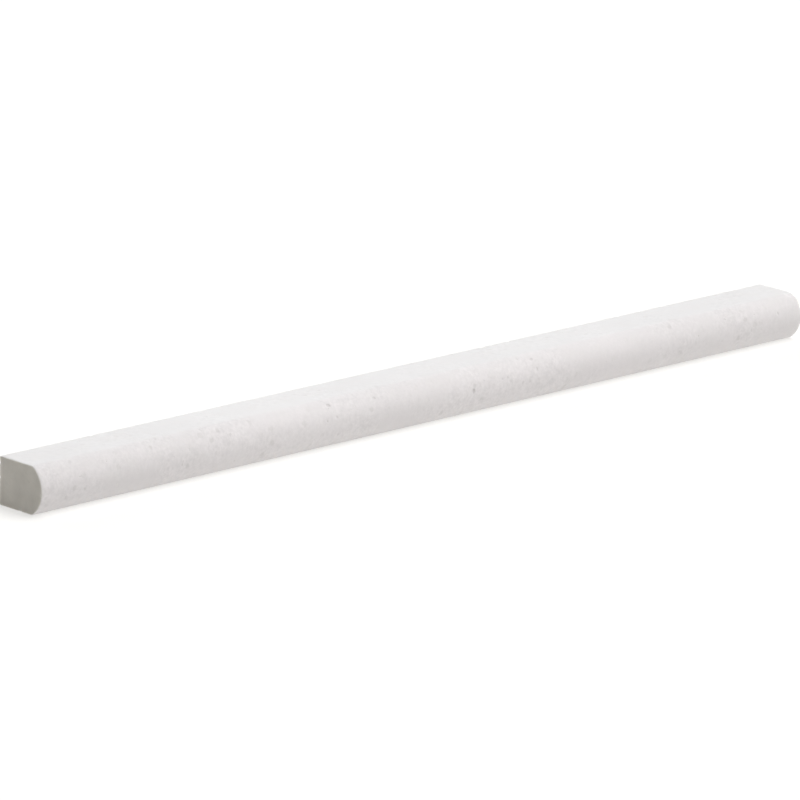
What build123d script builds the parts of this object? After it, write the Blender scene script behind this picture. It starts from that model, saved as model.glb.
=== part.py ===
from build123d import *

import os

# Pencil liner: one straight stick of honed limestone tile trim, sawn and ground as a single piece.
# It has a flat back, two flat long sides and a rounded nose.  It lies on its lower long side with its
# length along X, its nose towards -Y and its back towards +Y.  The origin is on the floor, under the
# middle of the stick.  All sizes are in millimetres.

# Driving dimensions
LENGTH = 305.0  # end to end, the nominal 12 inch stick
HEIGHT = 14.0  # between the flat long sides, which is the width of the line it draws on a wall
DEPTH = 17.5  # from the flat back to the tip of the nose
NOSE_RISE = 4.1  # how far the round nose stands out past the front edges of the flat sides
SHOULDER_RADIUS = 2.0  # soft turn where each flat side runs into the nose
ARRIS_RADIUS = 0.4  # eased edge round both sawn ends and along the two corners of the back


def section():
    """The D-shaped cross-section: flat back, flat sides and round nose."""
    back = DEPTH / 2
    nose_tip = -DEPTH / 2
    shoulder = nose_tip + NOSE_RISE
    with BuildSketch(Plane.YZ) as sketch:
        with BuildLine():
            Polyline((shoulder, 0), (back, 0), (back, HEIGHT), (shoulder, HEIGHT))
            ThreePointArc((shoulder, HEIGHT), (nose_tip, HEIGHT / 2), (shoulder, 0))
        make_face()
        # The drawing's own X runs from the nose to the back, so its lowest corners are the shoulders.
        shoulder_corners = sketch.vertices().group_by(Axis.X)[0]
        fillet(shoulder_corners, SHOULDER_RADIUS)
    return sketch.sketch


def pencil_liner():
    """The section run out to the full length, with its sawn edges eased."""
    stick = extrude(section(), LENGTH / 2, both=True)
    faces_along = stick.faces().sort_by(Axis.X)
    back_face = stick.faces().sort_by(Axis.Y)[-1]
    end_edges = faces_along[0].edges() + faces_along[-1].edges()
    back_edges = back_face.edges().filter_by(Axis.X)
    return fillet(end_edges + back_edges, ARRIS_RADIUS)


os.makedirs("parts", exist_ok=True)
liner = pencil_liner()
liner.label = "pencil_liner"
export_step(liner, "parts/pencil_liner.step")
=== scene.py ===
import math
from collections import namedtuple

import bmesh
import bpy
import numpy as np
from mathutils import Matrix, Vector, noise


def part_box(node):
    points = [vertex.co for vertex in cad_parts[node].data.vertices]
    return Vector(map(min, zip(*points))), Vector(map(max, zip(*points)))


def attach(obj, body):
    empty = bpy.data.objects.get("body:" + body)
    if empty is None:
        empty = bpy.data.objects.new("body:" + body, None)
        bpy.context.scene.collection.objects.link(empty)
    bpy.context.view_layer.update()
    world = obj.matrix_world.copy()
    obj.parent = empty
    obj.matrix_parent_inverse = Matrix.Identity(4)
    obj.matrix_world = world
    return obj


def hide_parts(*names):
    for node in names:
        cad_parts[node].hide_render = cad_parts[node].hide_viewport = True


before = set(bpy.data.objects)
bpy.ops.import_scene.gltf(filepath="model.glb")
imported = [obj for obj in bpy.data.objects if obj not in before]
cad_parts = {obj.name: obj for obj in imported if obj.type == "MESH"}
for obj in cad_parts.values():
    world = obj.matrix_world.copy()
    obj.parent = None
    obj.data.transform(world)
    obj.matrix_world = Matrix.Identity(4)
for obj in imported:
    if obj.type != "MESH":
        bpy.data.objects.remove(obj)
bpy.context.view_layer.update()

MM = 0.001
NODE = "pencil_liner"
LOW, HIGH = (np.array(corner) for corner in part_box(NODE))
LENGTH, DEPTH, HEIGHT = HIGH - LOW
MIDDLE = (LOW[2] + HIGH[2]) / 2
HALF = HEIGHT / 2
TINY = 1e-9  # keeps a division from meeting zero

Hollow = namedtuple("Hollow", "centre facing width height depth")
Specks = namedtuple("Specks", "spacing share radius")
Tint = namedtuple("Tint", "share colour")
Lamp = namedtuple("Lamp", "name bearing height spread energy")

# Sizes of the section that the frame's box doesn't give
NOSE_RISE = 4.1 * MM
SHOULDER_RADIUS = 2.0 * MM
BACK_ARRIS = 0.45 * MM
END_ARRIS = 0.32 * MM  # more than the depth of the rub at the far end, so that the skin can't fold

# Centres of the section's rounds, with heights measured from its middle
NOSE_RADIUS = (NOSE_RISE**2 + HALF**2) / (2 * NOSE_RISE)
NOSE_Y = LOW[1] + NOSE_RADIUS
SHOULDER_Z = HALF - SHOULDER_RADIUS
SHOULDER_Y = NOSE_Y - math.sqrt((NOSE_RADIUS - SHOULDER_RADIUS) ** 2 - SHOULDER_Z**2)
NOSE_TILT = math.atan2(SHOULDER_Z, NOSE_Y - SHOULDER_Y)
CORNER_Y = HIGH[1] - BACK_ARRIS
CORNER_Z = HALF - BACK_ARRIS

# How finely the mesh is divided
FLAT_STEPS = 20  # across each flat long side
FACE_STEPS = 28  # down the back, and round the nose
CORNER_STEPS = 4  # round each shoulder and each corner of the back
LENGTH_STEPS = 400  # an even number, so that a ring lies at the middle
END_STEPS = 4  # rings over each end arris
PIT_CUTS = 3  # further cuts to each edge of the faces round a pit
CHIP_CUTS = 2
CUT_REACH = 1.2  # these faces go this many half widths out from the middle of a hollow
CUT_MARGIN = 0.3 * MM  # and this much further

# The skin laid out flat
UV_GAP = 2 * MM  # between its pieces
END_FACING = 0.75  # a face whose normal has a larger X belongs to an end

# Pits that show in the photograph: place along the length, tilt on the nose in degrees,
# half width, half height, depth
SEEN_PITS = (
    (-43.6 * MM, 44.0, 0.90 * MM, 0.65 * MM, 0.15 * MM),
    (-26.2 * MM, 37.0, 0.80 * MM, 0.55 * MM, 0.10 * MM),
    (12.5 * MM, 5.0, 0.65 * MM, 0.85 * MM, 0.19 * MM),
    (37.9 * MM, 43.0, 0.80 * MM, 0.55 * MM, 0.13 * MM),
)
# The rubbed-off shoulder at the far end: place along Y, half width, half height, depth
SEEN_RUB = (-5.0 * MM, 1.6 * MM, 3.0 * MM, 0.30 * MM)

# Pits and chips that are scattered
SEED = 41
PIT_COUNT = 48
PIT_WIDTH = (0.22 * MM, 0.60 * MM)
PIT_STRETCH = (0.8, 1.6)
PIT_DEPTH = (0.03 * MM, 0.10 * MM)
PIT_EDGE = 0.1  # pits stay where the edge share is below this
TOP_FACING = 0.9  # a point whose normal has a larger Z is on the upper side
TOP_SHARE = 0.3  # how thickly pits lie on the upper side, against the rest
CHIP_COUNT = 70
CHIP_WIDTH = (0.25 * MM, 1.30 * MM)
CHIP_DEPTH = (0.05 * MM, 0.20 * MM)
CHIP_EDGE = 0.9  # chips start where the edge share is above this
CHIP_POWER = 3  # makes most chips tiny
CHIP_SHALLOW = 0.3  # share of its depth that a chip of no width would keep

# Shape of a hollow
HOLLOW_REACH = 2  # it ends within this many half widths
HOLLOW_LEAN = 0.3  # it leaves out normals whose cosine with its own is below this
HOLLOW_RAGGED = 0.5  # how far noise moves its rim
HOLLOW_FULL = 1.2  # above 1, its floor is level
HOLLOW_ENDWAYS = 0.5  # one that faces further along X than this is laid out along Y

# Noise of the relief: each use has its own seed, and hollows count on from theirs
SEED_STEPS = (13.7, -7.3, 3.1)  # how far apart two seeds are along X, Y and Z
WAVE_SEED = 1
WORN_SEED = 2
BACK_SAW_SEED = 3
END_SAW_SEED = 4
PIT_SEED = 100
CHIP_SEED = 300
RUB_SEED = 400

# Fine relief
WAVE_DEPTH = 0.03 * MM  # slow waves over every face
WAVE_SIZE = 30 * MM
WAVE_SQUEEZE = (1, 2, 2)  # they are half as long across the stick
WORN_DEPTH = 0.08 * MM  # uneven wear of the sawn edges
WORN_SIZE = 2.5 * MM
SAW_POWER = 4  # how sharply the saw marks end at the edges of a sawn face
BACK_SAW_DEPTH = 0.07 * MM
BACK_SAW_SIZE = 0.8 * MM
BACK_SAW_STRETCH = 40
END_SAW_DEPTH = 0.025 * MM
END_SAW_SIZE = 0.9 * MM
BLADE_Y = 110 * MM  # middle of the blade that cut the ends
BLADE_Z = -140 * MM
END_GROOVE_SHARE = 0.4  # how strongly the ends' grooves are shaded, against the back's
FULL_PIT = 0.2 * MM  # a pit this deep has all of its painted shade
FULL_CHIP = 0.1 * MM
NOSE_GAIN = 1.4  # above 1, the nose has its full colour before its tip

# Stone colours, linear: two between which the plain stone varies, and tints over it
# The stone's own colour with painted light in it: the flats neutral as under a cool sheen, the nose pinker
# as under warm light
FLAT_STONE_COOL_LIT = ((0.688, 0.679, 0.680), (0.702, 0.693, 0.694))
NOSE_STONE_WARM_LIT = ((0.694, 0.670, 0.672), (0.711, 0.685, 0.688))
PATCH_TINT = Tint(0.4, (0.687, 0.669, 0.662))
PALE_TINT = Tint(0.45, (0.770, 0.751, 0.735))
GREY_TINT = Tint(0.65, (0.572, 0.551, 0.547))
# painted shade: pores darkened as the shade inside tiny holes
PORE_SHADE_TINT = Tint(0.4, (0.354, 0.338, 0.318))
# sawn stone is warmer, and its tint also holds the painted warm cast of the shaded end
SAWN_AND_SHADE_TINT = Tint(0.7, (0.650, 0.618, 0.546))
EDGE_TINT = Tint(0.4, (0.715, 0.702, 0.682))
CHIP_TINT = Tint(0.5, (0.720, 0.704, 0.680))
# painted shade in the pits, darker where they are deeper
PIT_SHADE_TINT = Tint(0.25, (0.400, 0.375, 0.365))

# Stone pattern
NOISE_SPAN = (0.3, 0.7)  # most of the noise lies between these
WIDE_SIZE = 22 * MM
WIDE_SPAN = (0.35, 0.65)
PATCH_SIZE = 6 * MM
PATCH_SPAN = (0.45, 0.75)
MOTTLE_SIZE = 1.8 * MM
MOTTLE_SWING = 0.042  # how much lighter and darker it makes the colour
GRAIN_SIZE = 0.9 * MM
GRAIN_SWING = 0.036
CROWD_SIZE = 15 * MM  # size of the calmer and livelier areas
CROWD_SPAN = (0.4, 0.6)
CALM_SHARE = 0.25  # how much pattern the calmest areas keep
FLAT_SHARE = 0.6  # how much pattern the flat sides have, against the nose
PALE_SPECKS = Specks(3.2 * MM, 0.3, 0.7 * MM)
GREY_SPECKS = Specks(3.2 * MM, 0.45, 1.0 * MM)
PORES = Specks(2.1 * MM, 0.10, 0.22 * MM)
SMALLEST_SPECK = 0.35  # its radius, against that of the largest
SPECK_RIM = (0.6, 1.2)  # a speck fades out between these shares of its radius
SPECK_RAGGED = (0.7 * MM, 0.8 * MM)  # size and reach of the noise on the rims
GREY_RAGGED = (1.5 * MM, 1.8 * MM)
NEAR_DARK_REACH = 90 * MM  # the colour is darker within this of the near end
NEAR_DARK_SHARE = 0.05
SAWN_SWING = 0.07
GROOVE_SHADE = 0.10

# Stone surface
HONED_ROUGHNESS = (0.58, 0.70)
SAWN_ROUGHER = 0.15
PORE_ROUGHER = 0.15
STONE_SHEEN = 0.25
SCATTER_REACH = 1.0 * MM  # how far light spreads under the skin
FINE_SIZE = 0.6 * MM
FINE_DEPTH = 0.020 * MM
FINE_DETAIL = 3
FINE_ROUGHNESS = 0.6
PORE_DEPTH = 0.08 * MM
GREY_DEPTH = 0.015 * MM

# Table
FLOOR_REACH = 8.0
PAPER = ((0.395, 0.393, 0.384), (0.405, 0.403, 0.394))
PAPER_MOTTLE = 0.4
PAPER_ROUGHNESS = 0.9
PAPER_SHEEN = 0.1
TABLE_GLOW = (1.0, 0.99, 0.975, 1.0)
TABLE_STRENGTH = 0.575

# Lights: bearing, height and spread in degrees.  The bearing turns from +X towards the front.
LAMPS = (
    Lamp("key", 35, 62, 65, 2.95),
    Lamp("front", 65, 48, 65, 0.85),
    Lamp("back", -75, 18, 50, 1.54),
)

# Camera, fitted to the stick in the photograph
VIEW_AZIMUTH = math.radians(-44.77)
VIEW_ELEVATION = math.radians(15.12)
VIEW_ROLL = math.radians(1.50)
VIEW_DISTANCE = 1848.2 * MM
AIM_RIGHT = -5.98 * MM
AIM_UP = 5.18 * MM
SENSOR_WIDTH = 36  # Blender takes this and the lens in millimetres
LENS = 289.55


# Shape

def line(start, end, steps):
    """Points along a straight stretch, without its last point."""
    share = np.arange(steps)[:, None] / steps
    return np.array(start) + share * (np.array(end) - np.array(start))


def arc(centre, radius, start, sweep, steps):
    """Points along a round stretch, without its last point."""
    angle = start + sweep * np.arange(steps) / steps
    return np.array(centre) + radius * np.column_stack([np.cos(angle), np.sin(angle)])


def section():
    """The outline as (y, height from the middle), clockwise from the middle of the back's lower corner."""
    back = HIGH[1]
    quarter = math.pi / 2
    turn = quarter - NOSE_TILT
    stretches = [
        arc((CORNER_Y, -CORNER_Z), BACK_ARRIS, 0, -quarter, CORNER_STEPS),
        line((CORNER_Y, -HALF), (SHOULDER_Y, -HALF), FLAT_STEPS),
        arc((SHOULDER_Y, -SHOULDER_Z), SHOULDER_RADIUS, -quarter, -turn, CORNER_STEPS),
        arc((NOSE_Y, 0), NOSE_RADIUS, math.pi + NOSE_TILT, -2 * NOSE_TILT, FACE_STEPS),
        arc((SHOULDER_Y, SHOULDER_Z), SHOULDER_RADIUS, quarter + turn, -turn, CORNER_STEPS),
        line((SHOULDER_Y, HALF), (CORNER_Y, HALF), FLAT_STEPS),
        arc((CORNER_Y, CORNER_Z), BACK_ARRIS, quarter, -quarter, CORNER_STEPS),
        line((back, CORNER_Z), (back, -CORNER_Z), FACE_STEPS),
    ]
    return np.roll(np.concatenate(stretches), -(CORNER_STEPS // 2), 0)


def across_section(points):
    """How far each point lies outside the section, and the way out from it as (y, z)."""
    y = points[:, 1]
    side = np.sign(points[:, 2] - MIDDLE)
    rise = np.abs(points[:, 2] - MIDDLE)
    on_nose = (y < NOSE_Y) & (np.arctan2(rise, NOSE_Y - y) <= NOSE_TILT)
    on = [on_nose, y < SHOULDER_Y, y < CORNER_Y]
    centre_y = np.select(on, [NOSE_Y, SHOULDER_Y, y], CORNER_Y)
    centre_rise = np.select(on, [0, SHOULDER_Z, 0], np.minimum(rise, CORNER_Z))
    radius = np.select(on, [NOSE_RADIUS, SHOULDER_RADIUS, HALF], BACK_ARRIS)
    out = np.column_stack([y - centre_y, side * (rise - centre_rise)])
    reach = np.linalg.norm(out, axis=1)
    return reach - radius, out / np.maximum(reach, TINY)[:, None]


def settle(points):
    """Each point moved onto the rounded surface that it lies near, and its outward normal."""
    past_side, out = across_section(points)
    past_end = np.abs(points[:, 0]) - LENGTH / 2
    side_part = np.maximum(past_side + END_ARRIS, 0)
    end_part = np.maximum(past_end + END_ARRIS, 0)
    reach = np.hypot(side_part, end_part)
    way = np.column_stack([np.sign(points[:, 0]) * end_part, out * side_part[:, None]])
    normals = way / reach[:, None]
    return points - (reach - END_ARRIS)[:, None] * normals, normals


def ring_places():
    """For each ring along the stick, its place along X and how far the end arris draws it in."""
    lean = np.linspace(0, math.pi / 2, END_STEPS + 1)[1:]
    body = np.linspace(LOW[0] + END_ARRIS, HIGH[0] - END_ARRIS, LENGTH_STEPS + 1)
    reach = END_ARRIS * np.sin(lean)
    drawn = END_ARRIS * (1 - np.cos(lean))
    place = np.concatenate([(body[0] - reach)[::-1], body, body[-1] + reach])
    inset = np.concatenate([drawn[::-1], np.zeros(len(body)), drawn])
    return place, inset


def end_grid(ring):
    """A grid of points that fills an end's outline, from its lower, nose, upper and back sides."""
    across = FLAT_STEPS + CORNER_STEPS
    up = FACE_STEPS + CORNER_STEPS
    closed = np.concatenate([ring, ring[:1]])
    lower = closed[: across + 1]
    nose = closed[across : across + up + 1]
    upper = closed[across + up : 2 * across + up + 1][::-1]
    back = closed[2 * across + up :][::-1]
    u = np.linspace(0, 1, across + 1)[:, None, None]
    v = np.linspace(0, 1, up + 1)[None, :, None]
    sides = (1 - v) * lower[:, None] + v * upper[:, None] + (1 - u) * back[None] + u * nose[None]
    corners = (
        (1 - u) * (1 - v) * lower[0] + u * (1 - v) * lower[-1]
        + (1 - u) * v * upper[0] + u * v * upper[-1]
    )
    return sides - corners


def end_numbers(first_ring, first_inner):
    """Vertex numbers of an end's grid: its rim is on a ring of the stick, and its inside is its own."""
    across = FLAT_STEPS + CORNER_STEPS
    up = FACE_STEPS + CORNER_STEPS
    around = 2 * (across + up)
    numbers = np.zeros((across + 1, up + 1), int)
    numbers[:, 0] = first_ring + np.arange(across + 1)
    numbers[-1, :] = first_ring + across + np.arange(up + 1)
    numbers[:, -1] = first_ring + across + up + np.arange(across + 1)[::-1]
    numbers[0, 1:] = first_ring + around - np.arange(1, up + 1)
    inside = np.arange((across - 1) * (up - 1)).reshape(across - 1, up - 1)
    numbers[1:-1, 1:-1] = first_inner + inside
    return numbers


def grid_faces(numbers):
    """Quads between the rows and columns of a grid of vertex numbers."""
    corners = [numbers[:-1, :-1], numbers[:-1, 1:], numbers[1:, 1:], numbers[1:, :-1]]
    return np.stack(corners, -1).reshape(-1, 4)


def plain_stick():
    """Points and quads of the whole stick before its relief, closed at both ends."""
    outline = section() + (0, MIDDLE)
    _, out = across_section(np.column_stack([np.zeros(len(outline)), outline]))
    place, inset = ring_places()
    rings, around = len(place), len(outline)
    flat = outline - inset[:, None, None] * out
    points = np.concatenate([np.repeat(place[:, None, None], around, 1), flat], -1).reshape(-1, 3)
    numbers = np.arange(rings * around).reshape(rings, around)
    quads = [grid_faces(np.concatenate([numbers, numbers[:, :1]], 1))[:, ::-1]]
    for ring, facing in ((0, -1), (rings - 1, 1)):
        rim = points[ring * around : (ring + 1) * around]
        cap = grid_faces(end_numbers(ring * around, len(points)))
        quads.append(cap if facing > 0 else cap[:, ::-1])
        points = np.concatenate([points, end_grid(rim)[1:-1, 1:-1].reshape(-1, 3)])
    return points, np.concatenate(quads)


# Relief

def smooth_noise(points, size, seed):
    """Soft noise from -1 to 1 with features of about the given size."""
    shift = Vector([seed * step for step in SEED_STEPS])
    return np.array([noise.noise(Vector(p) / size + shift) for p in points])


def edge_share(normals):
    """1 along the middle of each eased sawn edge, 0 on the faces and the nose."""
    nx, ny, nz = normals.T
    ends = 2 * np.abs(nx) * np.sqrt(np.clip(1 - nx**2, 0, 1))
    back = 2 * np.clip(ny, 0, 1) * np.abs(nz)
    return np.clip(ends + back, 0, 1)


def sawn_share(normals):
    """1 on the sawn ends and back, 0 on the honed faces."""
    nx, ny, _ = normals.T
    return np.clip(nx**2 + np.clip(ny, 0, 1) ** 2, 0, 1) ** 2


def ground_share(normals):
    """1 on the ground nose, 0 on the flat long sides, the back and the ends."""
    return np.clip(-NOSE_GAIN * normals[:, 1], 0, 1)


def seen_hollows():
    """The pits and the rubbed shoulder that the photograph shows."""
    pits = []
    for x, degrees, width, height, depth in SEEN_PITS:
        tilt = math.radians(degrees)
        facing = np.array([0, -math.cos(tilt), math.sin(tilt)])
        centre = np.array([x, NOSE_Y, MIDDLE]) + NOSE_RADIUS * facing
        pits.append(Hollow(centre, facing, width, height, depth))
    y, width, height, depth = SEEN_RUB
    centre, facing = settle(np.array([[HIGH[0], y, HIGH[2]]]))
    return pits, [Hollow(centre[0], facing[0], width, height, depth)]


def scattered_pits(points, normals, draw):
    """Open pores of the stone over every face."""
    share = np.where(normals[:, 2] > TOP_FACING, TOP_SHARE, 1.0) * (edge_share(normals) < PIT_EDGE)
    pits = []
    for pick in draw.choice(len(points), PIT_COUNT, replace=False, p=share / share.sum()):
        width = draw.uniform(*PIT_WIDTH)
        height = width * draw.uniform(*PIT_STRETCH)
        pits.append(Hollow(points[pick], normals[pick], width, height, draw.uniform(*PIT_DEPTH)))
    return pits


def edge_chips(points, normals, draw):
    """Small bites out of the sawn edges, most of them tiny."""
    rim = np.flatnonzero(edge_share(normals) > CHIP_EDGE)
    least, most = CHIP_WIDTH
    chips = []
    for pick in draw.choice(rim, CHIP_COUNT, replace=False):
        width = least + (most - least) * draw.random() ** CHIP_POWER
        depth = draw.uniform(*CHIP_DEPTH) * min(1, width / MM + CHIP_SHALLOW)
        chips.append(Hollow(points[pick], normals[pick], width, width, depth))
    return chips


def dent(points, normals, hollow, seed):
    """How far a ragged hollow draws each point in."""
    endways = abs(hollow.facing[0]) >= HOLLOW_ENDWAYS
    lengthwise = np.array([0, 1.0, 0]) if endways else np.array([1.0, 0, 0])
    lengthwise = lengthwise - hollow.facing * (lengthwise @ hollow.facing)
    lengthwise /= np.linalg.norm(lengthwise)
    near = np.abs(points - hollow.centre).max(1) < HOLLOW_REACH * max(hollow.width, hollow.height)
    near &= normals @ hollow.facing > HOLLOW_LEAN
    away = points[near] - hollow.centre
    along = away @ lengthwise / hollow.width
    up = away @ np.cross(hollow.facing, lengthwise) / hollow.height
    uneven = 1 + HOLLOW_RAGGED * smooth_noise(points[near], hollow.width, seed)
    inside = np.clip(HOLLOW_FULL * (1 - (along**2 + up**2) * uneven), 0, 1)
    drawn = np.zeros(len(points))
    drawn[near] = hollow.depth * inside**2 * (3 - 2 * inside)
    return drawn


def deepest(points, normals, hollows, first_seed):
    """How far the deepest hollow at each point draws it in."""
    drawn = np.zeros(len(points))
    for number, hollow in enumerate(hollows):
        drawn = np.maximum(drawn, dent(points, normals, hollow, first_seed + number))
    return drawn


def saw_marks(points, normals):
    """How deep the saw's grooves are, from 0 to 1: lines along the back and slanting arcs on the ends."""
    x, y, z = points.T
    on_back = np.clip(normals[:, 1], 0, 1) ** SAW_POWER
    on_ends = normals[:, 0] ** SAW_POWER
    still = np.zeros(len(points))
    lines = np.column_stack([x / BACK_SAW_STRETCH, z, still])
    arcs = np.column_stack([np.hypot(y - BLADE_Y, z - BLADE_Z), still, x])
    along_back = smooth_noise(lines, BACK_SAW_SIZE, BACK_SAW_SEED)
    over_ends = smooth_noise(arcs, END_SAW_SIZE, END_SAW_SEED)
    return on_back * (1 + along_back) / 2, on_ends * (1 + over_ends) / 2


def relief(points, normals, pits, chips, rubs):
    """How far each point is drawn in, and the shares that the material reads."""
    pitted = deepest(points, normals, pits, PIT_SEED)
    chipped = deepest(points, normals, chips, CHIP_SEED)
    rubbed = deepest(points, normals, rubs, RUB_SEED)
    edge = edge_share(normals)
    waves = WAVE_DEPTH * (1 + smooth_noise(points * WAVE_SQUEEZE, WAVE_SIZE, WAVE_SEED)) / 2
    worn = edge * WORN_DEPTH * (1 + smooth_noise(points, WORN_SIZE, WORN_SEED)) / 2
    hollow = np.maximum.reduce([pitted, chipped, rubbed])
    back_marks, end_marks = saw_marks(points, normals)
    drawn = hollow + waves + worn + BACK_SAW_DEPTH * back_marks + END_SAW_DEPTH * end_marks
    shares = {
        "sawn": sawn_share(normals),
        "groove": back_marks + END_GROOVE_SHARE * end_marks,
        "ground": ground_share(normals),
        "edge": edge,
        # share of the pits' painted shade, by their depth
        "pit": np.clip(pitted / FULL_PIT, 0, 1),
        "chip": np.clip(chipped / FULL_CHIP, 0, 1),
    }
    return drawn, shares


# Mesh

def numbers_from(items, name, kind, width=1):
    """One property of every item of a mesh, as an array."""
    found = np.empty(len(items) * width, kind)
    items.foreach_get(name, found)
    return found.reshape(-1, width) if width > 1 else found


def divide_round(mesh, hollows, cuts):
    """Cuts the faces round each hollow into smaller ones, so that its shape shows."""
    middles = numbers_from(mesh.polygons, "center", np.float32, 3)
    wanted = np.zeros(len(middles), bool)
    for hollow in hollows:
        reach = CUT_REACH * max(hollow.width, hollow.height) + CUT_MARGIN
        wanted |= np.linalg.norm(middles - hollow.centre, axis=1) < reach
    shape = bmesh.new()
    shape.from_mesh(mesh)
    shape.faces.ensure_lookup_table()
    edges = dict.fromkeys(edge for number in np.flatnonzero(wanted) for edge in shape.faces[number].edges)
    bmesh.ops.subdivide_edges(shape, edges=list(edges), cuts=cuts, use_grid_fill=True)
    many_sided = [face for face in shape.faces if len(face.verts) > 4]
    bmesh.ops.triangulate(shape, faces=many_sided, ngon_method="BEAUTY")
    shape.to_mesh(mesh)
    shape.free()


def unroll(mesh, points):
    """Lays the skin out flat in true proportion: two half lengths, one above the other, and both ends."""
    closed = section()
    closed = np.concatenate([closed, closed[:1]])
    run = np.concatenate([[0], np.cumsum(np.linalg.norm(np.diff(closed, axis=0), axis=1))])
    turn = -np.unwrap(np.arctan2(closed[:, 1], closed[:, 0]))
    angle = -np.arctan2(points[:, 2] - MIDDLE, points[:, 1])
    angle = np.where(angle < turn[0], angle + 2 * math.pi, angle)
    around = run[-1]

    vertex = numbers_from(mesh.loops, "vertex_index", np.int32)
    first = numbers_from(mesh.polygons, "loop_start", np.int32)
    face = np.repeat(np.arange(len(first)), numbers_from(mesh.polygons, "loop_total", np.int32))
    facing = numbers_from(mesh.polygons, "normal", np.float32, 3)[face, 0]
    right = numbers_from(mesh.polygons, "center", np.float32, 3)[face, 0] > 0
    x, y, z = points[vertex].T
    s = np.interp(angle, turn, run)[vertex]
    s = np.where(np.maximum.reduceat(s, first)[face] - s > around / 2, s + around, s)

    row = around + UV_GAP
    on_end = np.abs(facing) > END_FACING
    u = np.where(on_end, y - LOW[1] + right * (DEPTH + UV_GAP), x - np.where(right, 0, LOW[0]))
    v = np.where(on_end, z - LOW[2] + 2 * row, s + right * row)
    side = max(LENGTH / 2, 2 * row + HEIGHT) + 2 * UV_GAP
    flat = (np.column_stack([u, v]) + UV_GAP) / side
    mesh.uv_layers.new(name="OFBake").uv.foreach_set("vector", flat.ravel().astype(np.float32))


def build_stick():
    """The liner as one closed mesh in the frame, with its shares as attributes."""
    draw = np.random.default_rng(SEED)
    points, quads = plain_stick()
    points, normals = settle(points)
    pits, rubs = seen_hollows()
    pits += scattered_pits(points, normals, draw)
    chips = edge_chips(points, normals, draw)

    mesh = bpy.data.meshes.new("pencil_liner_stone")
    mesh.from_pydata(points.tolist(), [], quads.tolist())
    divide_round(mesh, pits, PIT_CUTS)
    divide_round(mesh, chips + rubs, CHIP_CUTS)
    points, normals = settle(numbers_from(mesh.vertices, "co", np.float32, 3).astype(float))
    unroll(mesh, points)
    drawn, shares = relief(points, normals, pits, chips, rubs)
    points = points - drawn[:, None] * normals
    mesh.vertices.foreach_set("co", points.ravel().astype(np.float32))
    for name, values in shares.items():
        layer = mesh.attributes.new(name, "FLOAT", "POINT")
        layer.data.foreach_set("value", values.astype(np.float32))
    mesh.update()
    mesh.shade_smooth()
    mesh.materials.append(limestone())
    stick = bpy.data.objects.new("pencil_liner_stone", mesh)
    bpy.context.scene.collection.objects.link(stick)
    return stick


# Materials

def add(tree, kind, inputs=None, **settings):
    """A new node with its settings, and its inputs set to values or linked to sockets."""
    node = tree.nodes.new(kind)
    for name, value in settings.items():
        setattr(node, name, value)
    for name, value in (inputs or {}).items():
        if isinstance(value, bpy.types.NodeSocket):
            tree.links.new(value, node.inputs[name])
        else:
            node.inputs[name].default_value = value
    return node


def sums(tree, operation, first, second):
    """One step of arithmetic on two sockets or numbers."""
    return add(tree, "ShaderNodeMath", {0: first, 1: second}, operation=operation).outputs[0]


def times(tree, first, second):
    """The product of two sockets or numbers."""
    return sums(tree, "MULTIPLY", first, second)


def spread(tree, value, low, high, to_low, to_high):
    """A value moved from one range to another, and kept inside it."""
    inputs = {"Value": value, "From Min": low, "From Max": high, "To Min": to_low, "To Max": to_high}
    return add(tree, "ShaderNodeMapRange", inputs).outputs["Result"]


def cloud(tree, place, size, detail=2.0, rough=0.5):
    """Soft noise with features of about the given size."""
    inputs = {"Vector": place, "Scale": 1 / size, "Detail": detail, "Roughness": rough}
    return add(tree, "ShaderNodeTexNoise", inputs).outputs["Fac"]


def blend(tree, share, first, second):
    """A colour between two others."""
    node = add(tree, "ShaderNodeMix", {"Factor": share}, data_type="RGBA")
    for socket, value in ((node.inputs[6], first), (node.inputs[7], second)):
        if isinstance(value, bpy.types.NodeSocket):
            tree.links.new(value, socket)
        else:
            socket.default_value = (*value, 1)
    return node.outputs[2]


def tinted(tree, colour, where, tint):
    """A colour with a tint over it, as far as a mask from 0 to 1 lets it."""
    return blend(tree, times(tree, where, tint.share), colour, tint.colour)


def shaded(tree, colour, swing):
    """A colour made lighter or darker by a share of itself."""
    scale = sums(tree, "ADD", swing, 1.0)
    return add(tree, "ShaderNodeVectorMath", {0: colour, "Scale": scale}, operation="SCALE").outputs[0]


def specks(tree, place, kind):
    """1 inside scattered specks of mixed sizes, in a share of the cells of their spacing."""
    inputs = {"Vector": place, "Scale": 1 / kind.spacing, "Randomness": 1.0}
    cells = add(tree, "ShaderNodeTexVoronoi", inputs)
    chance = add(tree, "ShaderNodeSeparateColor", {"Color": cells.outputs["Color"]}).outputs["Red"]
    largest = kind.radius / kind.spacing
    radius = spread(tree, chance, 0, kind.share, largest, SMALLEST_SPECK * largest)
    nearness = sums(tree, "DIVIDE", cells.outputs["Distance"], radius)
    held = sums(tree, "LESS_THAN", chance, kind.share)
    return times(tree, spread(tree, nearness, *SPECK_RIM, 1, 0), held)


def ragged(tree, place, size, amount):
    """Places shifted by noise, so that what is drawn at them has uneven edges."""
    inputs = {"Vector": place, "Scale": 1 / size, "Detail": 2.0}
    shift = add(tree, "ShaderNodeTexNoise", inputs).outputs["Color"]
    centred = add(tree, "ShaderNodeVectorMath", {0: shift, 1: (0.5, 0.5, 0.5)}, operation="SUBTRACT")
    inputs = {0: centred.outputs[0], "Scale": amount}
    scaled = add(tree, "ShaderNodeVectorMath", inputs, operation="SCALE")
    inputs = {0: place, 1: scaled.outputs[0]}
    return add(tree, "ShaderNodeVectorMath", inputs, operation="ADD").outputs[0]


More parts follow.
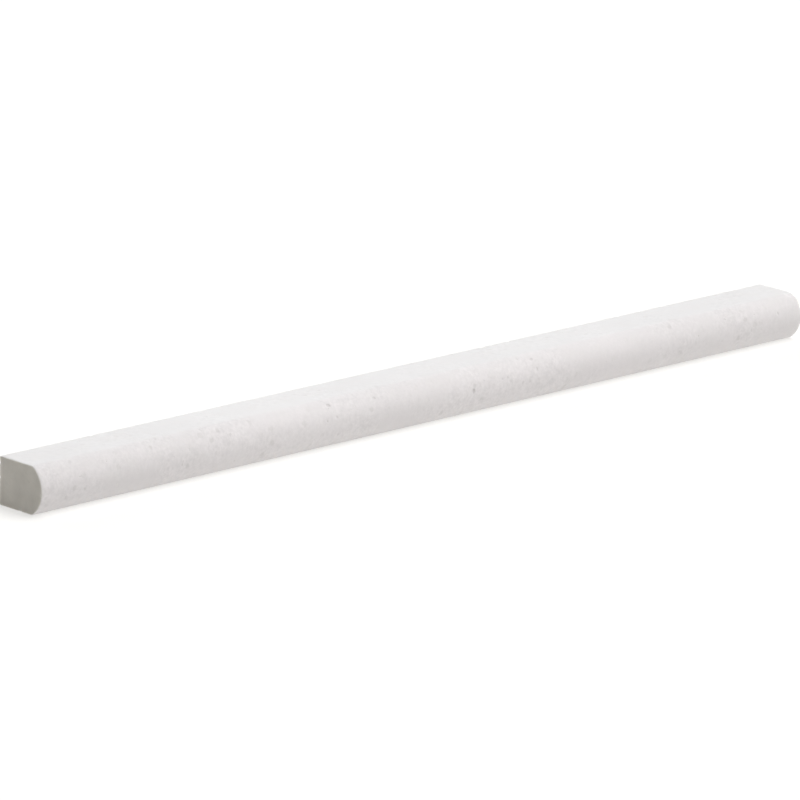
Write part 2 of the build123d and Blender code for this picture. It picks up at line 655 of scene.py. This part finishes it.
def limestone():
    """Pale fine-grained limestone, honed on its faces and sawn on its back and ends."""
    material = bpy.data.materials.new("limestone")
    material.use_nodes = True
    tree = material.node_tree
    shader = tree.nodes["Principled BSDF"]
    place = add(tree, "ShaderNodeTexCoord").outputs["Object"]
    sawn, groove, ground, edge, pit, chip = (
        add(tree, "ShaderNodeAttribute", attribute_name=name).outputs["Fac"]
        for name in ("sawn", "groove", "ground", "edge", "pit", "chip")
    )

    # Noise that the colours share, and how lively the pattern is at each place
    patchy = cloud(tree, place, PATCH_SIZE, FINE_DETAIL)
    mottle = cloud(tree, place, MOTTLE_SIZE)
    grain = cloud(tree, place, GRAIN_SIZE, FINE_DETAIL, FINE_ROUGHNESS)
    uneven = ragged(tree, place, *SPECK_RAGGED)
    crowded = spread(tree, cloud(tree, place, CROWD_SIZE), *CROWD_SPAN, CALM_SHARE, 1.0)
    lively = times(tree, crowded, spread(tree, ground, 0, 1, FLAT_SHARE, 1.0))

    # Plain stone, with its patches, mottle and grain
    wide = cloud(tree, place, WIDE_SIZE, FINE_DETAIL)
    paler = spread(tree, wide, *WIDE_SPAN, 0, 1)
    # the flats' neutral tone and the nose's pinker one are a painted cool sheen and painted warm light
    flat_stone_cool_lit = blend(tree, paler, *FLAT_STONE_COOL_LIT)
    nose_stone_warm_lit = blend(tree, paler, *NOSE_STONE_WARM_LIT)
    colour = blend(tree, ground, flat_stone_cool_lit, nose_stone_warm_lit)
    colour = tinted(tree, colour, spread(tree, patchy, *PATCH_SPAN, 0, 1), PATCH_TINT)
    mottled = spread(tree, mottle, *NOISE_SPAN, -MOTTLE_SWING, MOTTLE_SWING)
    grained = spread(tree, grain, *NOISE_SPAN, -GRAIN_SWING, GRAIN_SWING)
    swing = sums(tree, "ADD", mottled, grained)
    colour = shaded(tree, colour, times(tree, swing, lively))

    # Specks and pores
    pale = specks(tree, uneven, PALE_SPECKS)
    colour = tinted(tree, colour, pale, PALE_TINT)
    grey = times(tree, specks(tree, ragged(tree, place, *GREY_RAGGED), GREY_SPECKS), lively)
    colour = tinted(tree, colour, grey, GREY_TINT)
    # pores darkened with painted shade, over a shallow dip in the bump
    pore = specks(tree, uneven, PORES)
    colour = tinted(tree, colour, pore, PORE_SHADE_TINT)

    # The darker near end, the sawn faces with their painted warm shade, the worn edges and chips, and the
    # painted shade in pits
    along = add(tree, "ShaderNodeSeparateXYZ", {"Vector": place}).outputs["X"]
    colour = shaded(tree, colour, spread(tree, along, LOW[0], LOW[0] + NEAR_DARK_REACH, -NEAR_DARK_SHARE, 0.0))
    # the sawn stone's own tone, together with a painted warm cast of shade
    colour = tinted(tree, colour, sawn, SAWN_AND_SHADE_TINT)
    blotched = spread(tree, patchy, *NOISE_SPAN, SAWN_SWING, -SAWN_SWING)
    colour = shaded(tree, colour, times(tree, blotched, sawn))
    colour = shaded(tree, colour, spread(tree, groove, 0, 1, 0.0, -GROOVE_SHADE))
    # worn edges and chips are paler stone; the pits get painted shade
    for where, tint in ((edge, EDGE_TINT), (chip, CHIP_TINT), (pit, PIT_SHADE_TINT)):
        colour = tinted(tree, colour, where, tint)
    tree.links.new(colour, shader.inputs["Base Color"])

    # Surface
    rough = spread(tree, grain, *NOISE_SPAN, *HONED_ROUGHNESS)
    rough = sums(tree, "ADD", rough, times(tree, sawn, SAWN_ROUGHER))
    rough = sums(tree, "ADD", rough, times(tree, pore, PORE_ROUGHER))
    tree.links.new(rough, shader.inputs["Roughness"])
    shader.inputs["Specular IOR Level"].default_value = STONE_SHEEN
    shader.inputs["Subsurface Weight"].default_value = 1.0
    shader.inputs["Subsurface Radius"].default_value = (1.0, 1.0, 1.0)
    shader.inputs["Subsurface Scale"].default_value = SCATTER_REACH

    fine = times(tree, cloud(tree, place, FINE_SIZE, FINE_DETAIL, FINE_ROUGHNESS), FINE_DEPTH)
    height = sums(tree, "SUBTRACT", fine, times(tree, pore, PORE_DEPTH))
    height = sums(tree, "SUBTRACT", height, times(tree, grey, GREY_DEPTH))
    bump = add(tree, "ShaderNodeBump", {"Height": height, "Distance": 1.0, "Strength": 1.0})
    tree.links.new(bump.outputs["Normal"], shader.inputs["Normal"])
    return material


def floor_material():
    """A plain pale sheet on a table that is lit from below, which softens the shadows."""
    material = bpy.data.materials.new("lit_table")
    material.use_nodes = True
    tree = material.node_tree
    shader = tree.nodes["Principled BSDF"]
    place = add(tree, "ShaderNodeTexCoord").outputs["Object"]
    mottle = spread(tree, cloud(tree, place, PAPER_MOTTLE), *NOISE_SPAN, 0, 1)
    tree.links.new(blend(tree, mottle, *PAPER), shader.inputs["Base Color"])
    shader.inputs["Emission Color"].default_value = TABLE_GLOW
    shader.inputs["Emission Strength"].default_value = TABLE_STRENGTH
    shader.inputs["Roughness"].default_value = PAPER_ROUGHNESS
    shader.inputs["Specular IOR Level"].default_value = PAPER_SHEEN
    return material


def build_floor():
    """A wide flat sheet under the stick."""
    reach = FLOOR_REACH
    mesh = bpy.data.meshes.new("floor")
    corners = [(-reach, -reach, 0), (reach, -reach, 0), (reach, reach, 0), (-reach, reach, 0)]
    mesh.from_pydata(corners, [], [(0, 1, 2, 3)])
    mesh.materials.append(floor_material())
    floor = bpy.data.objects.new("floor", mesh)
    bpy.context.scene.collection.objects.link(floor)
    return floor


# Light and camera

def way_to(turn, lift):
    """The way to a far place, by its turn from +X towards the front and its lift above the floor."""
    return Vector((math.cos(turn) * math.cos(lift), -math.sin(turn) * math.cos(lift), math.sin(lift)))


def light(lamp):
    """A soft far light."""
    data = bpy.data.lights.new(lamp.name, "SUN")
    data.energy = lamp.energy
    data.angle = math.radians(lamp.spread)
    towards = way_to(math.radians(lamp.bearing), math.radians(lamp.height))
    holder = bpy.data.objects.new(lamp.name, data)
    holder.matrix_world = (-towards).to_track_quat("-Z", "Y").to_matrix().to_4x4()
    bpy.context.scene.collection.objects.link(holder)


def light_studio():
    """Wide soft lights from above and from the front, and a low one from behind, under a dark sky."""
    for lamp in LAMPS:
        light(lamp)
    world = bpy.data.worlds.new("studio")
    world.use_nodes = True
    background = world.node_tree.nodes["Background"]
    background.inputs["Color"].default_value = (1, 1, 1, 1)
    background.inputs["Strength"].default_value = 0.0
    bpy.context.scene.world = world
    bpy.context.scene.view_settings.view_transform = "Standard"


def place_camera():
    """The photograph's view: a long lens from the left, a little above, turned slightly on its side."""
    back = way_to(math.pi / 2 - VIEW_AZIMUTH, VIEW_ELEVATION)
    level = Vector((0, 0, 1)).cross(back).normalized()
    upright = back.cross(level)
    right = math.cos(VIEW_ROLL) * level + math.sin(VIEW_ROLL) * upright
    up = math.cos(VIEW_ROLL) * upright - math.sin(VIEW_ROLL) * level
    data = bpy.data.cameras.new("photo_view")
    data.sensor_width = SENSOR_WIDTH
    data.lens = LENS
    camera = bpy.data.objects.new("photo_view", data)
    turn = Matrix((right, up, back)).transposed().to_4x4()
    stand = AIM_RIGHT * right + AIM_UP * up + VIEW_DISTANCE * back
    camera.matrix_world = Matrix.Translation(stand) @ turn
    bpy.context.scene.collection.objects.link(camera)
    bpy.context.scene.camera = camera


stick = build_stick()
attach(stick, "root")
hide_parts(NODE)
build_floor()
light_studio()
place_camera()
